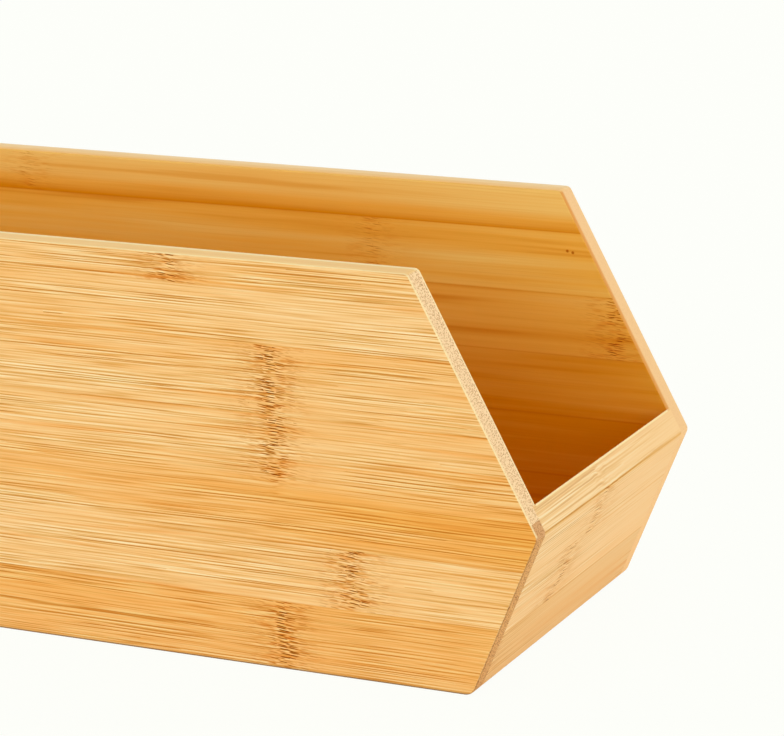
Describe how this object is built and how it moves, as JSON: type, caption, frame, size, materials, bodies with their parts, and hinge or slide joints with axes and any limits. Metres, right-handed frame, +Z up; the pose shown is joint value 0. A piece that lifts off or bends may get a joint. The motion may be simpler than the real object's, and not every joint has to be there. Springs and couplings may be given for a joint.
{
  "type": "storage box",
  "caption": "Open-topped storage box of laminated bamboo with hexagonal long sides, low ends that lean outwards and a flat base, for small household things.",
  "frame": {"origin": "on the table under the middle of the base", "axes": "+X along the box to its right end, +Y from the front side to the back side, +Z up"},
  "size_m": [0.3794, 0.12, 0.13],
  "materials": {
    "pale_bamboo": "clear satin lacquer over fine straight grain",
    "amber_bamboo": "clear satin lacquer over fine straight grain"
  },
  "bodies": {
    "root": {"front_side_strip_1": "amber_bamboo", "front_side_strip_2": "pale_bamboo", "front_side_strip_3": "amber_bamboo", "front_side_strip_4": "pale_bamboo", "front_side_strip_5": "pale_bamboo", "front_side_strip_6": "pale_bamboo", "front_side_strip_7": "pale_bamboo", "back_side_strip_1": "pale_bamboo", "back_side_strip_2": "amber_bamboo", "back_side_strip_3": "pale_bamboo", "back_side_strip_4": "pale_bamboo", "back_side_strip_5": "pale_bamboo", "back_side_strip_6": "amber_bamboo", "back_side_strip_7": "pale_bamboo", "right_end_strip_1": "amber_bamboo", "right_end_strip_2": "pale_bamboo", "right_end_strip_3": "pale_bamboo", "left_end_strip_1": "pale_bamboo", "left_end_strip_2": "amber_bamboo", "left_end_strip_3": "pale_bamboo", "base_strip_1": "pale_bamboo", "base_strip_2": "amber_bamboo", "base_strip_3": "pale_bamboo", "base_strip_4": "pale_bamboo", "base_strip_5": "amber_bamboo", "base_strip_6": "pale_bamboo"}
  },
  "joints": []
}
